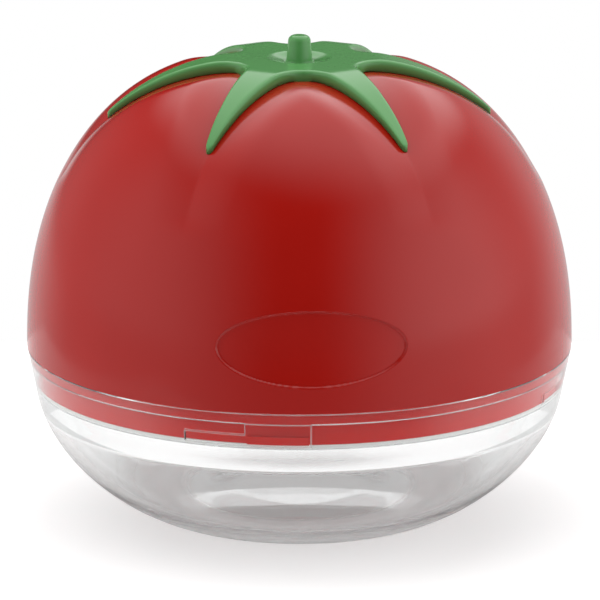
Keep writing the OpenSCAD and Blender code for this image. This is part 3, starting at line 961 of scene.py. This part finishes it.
class Star:
    """The calyx's outline seen from above and its heights."""

    def __init__(self, form):
        calyx = form.calyx
        self.form, self.calyx = form, calyx
        half_pitch = math.pi / calyx.sepals
        self.base_x = calyx.web_r * math.cos(half_pitch)
        self.notch = calyx.web_r * math.sin(half_pitch)
        self.tip_x = calyx.span / 2
        self.dish_z = form.hub_z - calyx.dish_depth
        self.dish_r = ((calyx.dish_d / 2) ** 2 + calyx.dish_depth**2) / (2 * calyx.dish_depth)
        self.outline = self.sample_outline()

    def half_width(self, x):
        """Half the width of a sepal at a distance from the axis."""
        calyx = self.calyx
        u = np.clip((x - self.base_x) / (self.tip_x - self.base_x), 0.0, 1.0)
        body = calyx.tip_round + (calyx.sepal_w / 2 - calyx.tip_round) * (1.0 - u) ** SEPAL_TAPER
        blunt = np.clip((x - self.tip_x) / calyx.tip_round + 1.0, 0.0, 1.0)
        web = (self.notch - calyx.sepal_w / 2) * np.exp((self.base_x - x) / calyx.web_fillet)
        return (body + web) * np.sqrt(1.0 - blunt**2)

    def stations(self, cells):
        """Distances along a sepal, closer together at the web and the tip."""
        share = (1.0 - np.cos(np.linspace(0, math.pi, cells + 1))) / 2
        return self.base_x + (self.tip_x - self.base_x) * share

    def sepal_grid(self, cells, half_columns):
        """Points along and across one sepal, closer together at its edges."""
        x = self.stations(cells)
        across = np.sin(np.linspace(-math.pi / 2, math.pi / 2, 2 * half_columns + 1))
        width = self.half_width(x)
        width[-1] = 0.0
        return np.stack([np.repeat(x[:, None], len(across), axis=1), width[:, None] * across], axis=-1)

    def sample_outline(self):
        """Many points along the outline of all the sepals."""
        grid = self.sepal_grid(OUTLINE_CELLS, 1)
        side = np.concatenate([grid[:, 0], grid[::-1, 2]])
        return np.concatenate([spin(side, az) for az in self.form.sepal_az])

    def edge_drop(self, flat):
        """How far the rounded top edge lies below the top at each point, from 0 to 1 of its radius."""
        radius = self.calyx.sepal_round
        gap = np.empty(len(flat))
        for start in range(0, len(flat), OUTLINE_CHUNK):
            chunk = slice(start, start + OUTLINE_CHUNK)
            apart = flat[chunk, None] - self.outline[None]
            gap[chunk] = np.hypot(apart[..., 0], apart[..., 1]).min(axis=1)
        short = np.clip(radius - gap, 0.0, radius)
        return 1.0 - np.sqrt(1.0 - (short / radius) ** 2)

    def top(self, flat, along, across):
        """Heights of the top: the hub's level, the sepals' arc, the dish and the rounded edge."""
        form, calyx = self.form, self.calyx
        past = np.maximum(along - form.sepal_c[0], 0.0)
        slope = form.sepal_c[1] + np.sqrt(form.sepal_r**2 - past**2)
        z = soft_min(slope, form.hub_z, HUB_SOFT)
        room = z - self.bottom(flat, along, across)
        near_tip = smoothstep(self.tip_x - BLUNT_FROM, self.tip_x - BLUNT_TO, along)
        blunt = 1.0 - calyx.tip_blunt * near_tip
        z = z - self.edge_drop(flat) * blunt * np.minimum(calyx.sepal_round, EDGE_SHARE * room)
        r = np.hypot(flat[:, 0], flat[:, 1])
        dish = self.dish_z + self.dish_r - np.sqrt(np.maximum(self.dish_r**2 - r**2, 0.0))
        return np.where(r < calyx.web_r, soft_min(z, dish, calyx.dish_soft), z)

    def hub_top(self, flat):
        """Heights of the top inside the web."""
        inside = np.zeros(len(flat))
        return self.top(flat, inside, inside)

    def bottom(self, flat, along, across):
        """Heights of the underside: keeled in the furrows and level under the hub."""
        form, calyx = self.form, self.calyx
        reach = form.furrow_bottom_r + calyx.seat_gap + form.furrow_rise * np.abs(across)
        z = form.furrow_c[1] + np.sqrt(np.maximum(reach**2 - (along - form.furrow_c[0]) ** 2, 0.0))
        level = form.seat_z + calyx.seat_gap
        r = np.hypot(flat[:, 0], flat[:, 1])
        out = smoothstep(calyx.web_r - WEB_BLEND, calyx.web_r + WEB_BLEND, r)
        return level + (z - level) * out


def spin(flat, az):
    """Points (along, across) of a sepal turned to its azimuth in plan."""
    along, across = flat[..., 0], flat[..., 1]
    x = along * math.sin(az) + across * math.cos(az)
    y = across * math.sin(az) - along * math.cos(az)
    return np.stack([x, y], axis=-1)


class Skin:
    """Points and faces gathered from patches that meet edge to edge."""

    def __init__(self):
        self.points, self.faces, self.size = [], [], 0

    def add_grid(self, grid):
        """Adds the quads of a grid of points."""
        rows, columns, _ = grid.shape
        here = self.size + np.arange(rows * columns).reshape(rows, columns)
        quads = np.stack([here[:-1, :-1], here[1:, :-1], here[1:, 1:], here[:-1, 1:]], axis=-1)
        self.points.append(grid.reshape(-1, 3))
        self.faces.append(quads.reshape(-1, 4))
        self.size += rows * columns

    def arrays(self):
        """All points and faces."""
        return np.concatenate(self.points), np.concatenate(self.faces)


def sepal_patches(star, skin, cells, half_columns):
    """Adds each sepal's top, underside and side walls, and returns the hub's rim above and below."""
    grid = star.sepal_grid(cells, half_columns)
    along, across = grid[..., 0].ravel(), grid[..., 1].ravel()
    rim_top, rim_low = [], []
    for az in star.form.sepal_az:
        flat = spin(grid, az).reshape(-1, 2)
        top = np.column_stack([flat, star.top(flat, along, across)]).reshape(*grid.shape[:2], 3)
        low = np.column_stack([flat, star.bottom(flat, along, across)]).reshape(*grid.shape[:2], 3)
        skin.add_grid(top)
        skin.add_grid(low[:, ::-1])
        for side, order in ((0, 1), (-1, -1)):
            skin.add_grid(np.stack([top[:, side], low[:, side]], axis=0)[::order])
        rim_top.append(top[0])
        rim_low.append(low[0])
    return np.concatenate(rim_top), np.concatenate(rim_low)


def stem_profile(star):
    """Radii and heights of the stem from its fillet's foot to the middle of its top."""
    calyx = star.calyx
    top_z = star.dish_z + calyx.stem_h
    foot_r, top_r = calyx.stem_d / 2, calyx.stem_top_d / 2
    fillet, edge = calyx.stem_fillet, calyx.stem_round
    foot = arc((foot_r + fillet, star.dish_z + fillet), fillet, 270, 180, FILLET_STEPS)
    corner = arc((top_r - edge, top_z - edge), edge, 0, 90, CORNER_STEPS)
    cap = [(r, top_z) for r in (top_r * CAP_SHARE, 0.0)]
    return np.array([*foot, *corner, *cap])


def peg_profile(star):
    """Radii and heights of the peg from the hub's underside to the middle of its flared end."""
    form, calyx = star.form, star.calyx
    foot_z = form.seat_z - form.lid.wall - calyx.seat_gap
    head_z = foot_z - calyx.peg_head_t
    level = form.seat_z + calyx.seat_gap
    peg_r, head_r = calyx.peg_d / 2, calyx.peg_head_d / 2
    return np.array([(peg_r, level), (peg_r, foot_z), (head_r, foot_z), (head_r, head_z), (0.0, head_z)])


def hub_patch(rim, profile, ring_heights, rings):
    """A grid from the hub's six-sided rim inwards to a round profile and along it."""
    plan = rim[:, :2]
    reach = np.hypot(plan[:, 0], plan[:, 1])[:, None]
    ways = plan / reach
    rows = [rim]
    for t in np.linspace(0.0, 1.0, rings + 1)[1:-1]:
        flat = ways * (reach * (1.0 - t) + profile[0, 0] * t)
        rows.append(np.column_stack([flat, ring_heights(flat)]))
    for r, z in profile:
        rows.append(np.column_stack([ways * r, np.full(len(ways), z)]))
    grid = np.stack(rows)
    return np.concatenate([grid, grid[:, :1]], axis=1)


class KEEPER_OT_calyx(bpy.types.Operator):
    """Builds the green calyx with its sepals, dished hub, stem and peg"""

    bl_idname = "keeper.calyx"
    bl_label = "Calyx"

    def execute(self, context):
        scene = context.scene
        form = Form(scene)
        star, skin = Star(form), Skin()
        rim_top, rim_low = sepal_patches(star, skin, SEPAL_CELLS, SEPAL_COLUMNS)
        stem = stem_profile(star)
        stem[0, 1] = star.hub_top(np.array([[stem[0, 0], 0.0]]))[0]
        peg = peg_profile(star)
        level = peg[0, 1]
        skin.add_grid(hub_patch(rim_top, stem, star.hub_top, HUB_RINGS))
        under = hub_patch(rim_low, peg, lambda flat: np.full(len(flat), level), PEG_RINGS)
        skin.add_grid(under[:, ::-1])
        finish = scene.keeper_finish
        material = gloss_plastic("green_plastic", finish.green, finish.green_gloss)
        piece = add_piece("green_calyx", *skin.arrays(), material)
        place(piece, "lid", "calyx")
        return {"FINISHED"}


def studio_world(stage):
    """White as it is seen, a bright wall at each side, and an even light that reflections don't show."""
    world = bpy.data.worlds.new("studio")
    world.use_nodes = True
    world.cycles.sampling_method = "NONE"
    bpy.context.scene.world = world
    shader = Shader(world.node_tree)
    kinds = ("Camera", "Transmission", "Glossy")
    seen, through, glossy = (shader.ray(f"Is {kind} Ray") for kind in kinds)
    way = shader.node("ShaderNodeTexCoord", output="Generated")
    across, back, up = (shader.share(way, axis) for axis in "XYZ")
    wall_end = shader.ramp(back, *WALL_END)
    left = wall_end * (stage.left_behind - stage.left_light) + stage.left_light
    right = wall_end * (stage.right_behind - stage.right_light) + stage.right_light
    walls = shader.ramp(across * -1.0, *WALL) * left + shader.ramp(across, *WALL) * right
    table = shader.ramp(back, *TABLE_END) * (stage.table_far - stage.table_near) + stage.table_near
    table = table + walls * stage.table_shine
    below = shader.ramp(up * -1.0, *TABLE_EDGE)
    edge = shader.ramp(back, *GAP_BACK) * shader.ramp(across, *GAP_ACROSS) * stage.edge_light
    high = up.math("MAXIMUM", PANEL_LOW) * (1 / stage.top_rise)
    panel_x = (across / high - stage.top_x) * (2 / stage.top_w)
    panel_y = (back / high - stage.top_y) * (2 / stage.top_l)
    out = (panel_x * panel_x + panel_y * panel_y).math("SQRT")
    edge_in, edge_out = 1 - stage.top_soft * PANEL_IN, 1 + stage.top_soft * PANEL_OUT
    panel = (1 - shader.ramp(out, edge_in, edge_out)) * stage.top_light
    mirrored = (1 - below) * (walls + edge) + below * table + panel + stage.dim_light
    sky = shader.ramp(up * SKY_UP - back * SKY_FRONT, *SKY_RISE) * stage.sky
    left_spread = shader.ramp(across * -1.0, *SIDE_LIGHT) * stage.left_spread
    right_spread = shader.ramp(across, *SIDE_LIGHT) * stage.right_spread
    spread = left_spread + right_spread + stage.ambient + sky
    lit = (1 - glossy) * spread + glossy * mirrored
    behind = shader.ramp(back, *BACKDROP) * stage.backdrop + stage.dim_light
    unseen = through * behind + (1 - through) * lit
    level = seen + (1 - seen) * unseen
    light = shader.node("ShaderNodeBackground", None, {"Color": level, "Strength": 1.0})
    made = shader.tree.nodes.new("ShaderNodeOutputWorld")
    shader.tree.links.new(light.socket, made.inputs["Surface"])


def floor_material(stage, foot_r):
    """A pale matt floor that looks white where no shadow falls; seen through the bowl it gets painted
    light, less under the foot than beside it, which adds painted shade under the foot.
    """
    material, shader = new_material("pale_floor")
    mottle = shader.noise(FLOOR_SCALE)
    tone = shader.mottled(mottle, [stage.floor_white] * 3, 1.0, FLOOR_SHADE)
    # Painted light on the floor seen through the bowl, weaker under the foot, which paints shade there
    beside = shader.ramp(shader.from_axis(shader.spot()), foot_r, foot_r + FOOT_BLEND)
    painted_bowl_light = beside * (stage.painted_light_beside_foot - stage.painted_light_under_foot) + stage.painted_light_under_foot
    lift = shader.ray("Is Camera Ray") * stage.floor_lift + shader.ray("Is Transmission Ray") * painted_bowl_light
    shader.output(shader.matt(tone, lift))
    return material


def add_lamp(name, size, centre, level):
    """A soft oval lamp overhead that faces down and that reflections don't show."""
    light = bpy.data.lights.new(name, "AREA")
    light.shape = "ELLIPSE"
    light.size, light.size_y = size
    light.energy = level * math.pi * math.pi * size[0] * size[1] / 4
    lamp = bpy.data.objects.new(name, light)
    lamp.location = centre
    lamp.visible_glossy = False
    bpy.context.scene.collection.objects.link(lamp)


class KEEPER_OT_stage(bpy.types.Operator):
    """Sets up the floor, the studio light and the camera"""

    bl_idname = "keeper.stage"
    bl_label = "Stage"

    def execute(self, context):
        scene, stage = context.scene, context.scene.keeper_stage
        studio_world(stage)
        half, low = stage.floor_half, -FLOOR_DROP
        front, back = -stage.floor_front - scene.keeper_bowl.rim_d / 2, stage.floor_back
        corners = [(-half, front, low), (half, front, low), (half, back, low), (-half, back, low)]
        mesh = bpy.data.meshes.new("floor")
        mesh.from_pydata(corners, [], [(0, 1, 2, 3)])
        mesh.materials.append(floor_material(stage, scene.keeper_bowl.foot_d / 2))
        floor = bpy.data.objects.new("floor", mesh)
        scene.collection.objects.link(floor)
        add_lamp("top_lamp", LAMP_SIZE, LAMP_PLACE, stage.top_spread)
        self.add_camera(scene, stage)
        scene.view_settings.view_transform = "Standard"
        return {"FINISHED"}

    def add_camera(self, scene, stage):
        """The camera at the photograph's viewing angle."""
        data = bpy.data.cameras.new("camera")
        data.sensor_width = SENSOR_W
        data.lens = data.sensor_width * stage.distance / stage.view_w
        data.clip_start, data.clip_end = CLIP
        camera = bpy.data.objects.new("camera", data)
        back, up = math.cos(stage.elevation), math.sin(stage.elevation)
        camera.location = (0.0, -stage.distance * back, stage.look_z + stage.distance * up)
        aim = Vector((stage.aim_x, 0.0, stage.aim_z)) - camera.location
        camera.rotation_euler = aim.to_track_quat("-Z", "Y").to_euler()
        scene.collection.objects.link(camera)
        scene.camera = camera


class KEEPER_PT_panel(bpy.types.Panel):
    """Lists the keeper's pieces and their sizes"""

    bl_idname = "KEEPER_PT_panel"
    bl_label = "Tomato Keeper"
    bl_space_type = "VIEW_3D"
    bl_region_type = "UI"
    bl_category = "Keeper"

    def draw(self, context):
        layout = self.layout
        for operator in OPERATORS:
            layout.operator(operator.bl_idname)
        for name in GROUPS:
            group = getattr(context.scene, name)
            box = layout.box()
            box.label(text=type(group).__doc__)
            for prop in group.__annotations__:
                box.prop(group, prop)


GROUPS = {
    "keeper_bowl": KeeperBowl,
    "keeper_lock": KeeperLock,
    "keeper_lid": KeeperLid,
    "keeper_calyx": KeeperCalyx,
    "keeper_seal": KeeperSeal,
    "keeper_finish": KeeperFinish,
    "keeper_stage": KeeperStage,
}
OPERATORS = (KEEPER_OT_stage, KEEPER_OT_bowl, KEEPER_OT_seal, KEEPER_OT_dome, KEEPER_OT_calyx)
CLASSES = (*GROUPS.values(), *OPERATORS, KEEPER_PT_panel)


def register():
    """Registers every class and puts the sizes on the scene."""
    for cls in CLASSES:
        bpy.utils.register_class(cls)
    for name, group in GROUPS.items():
        setattr(bpy.types.Scene, name, bpy.props.PointerProperty(type=group))


def unregister():
    """Takes the sizes and the classes away again."""
    for name in GROUPS:
        delattr(bpy.types.Scene, name)
    for cls in reversed(CLASSES):
        bpy.utils.unregister_class(cls)


def main():
    """Builds the stage and every piece."""
    register()
    bpy.ops.keeper.stage()
    bpy.ops.keeper.bowl()
    bpy.ops.keeper.seal()
    bpy.ops.keeper.dome()
    bpy.ops.keeper.calyx()


if __name__ == "__main__":
    main()
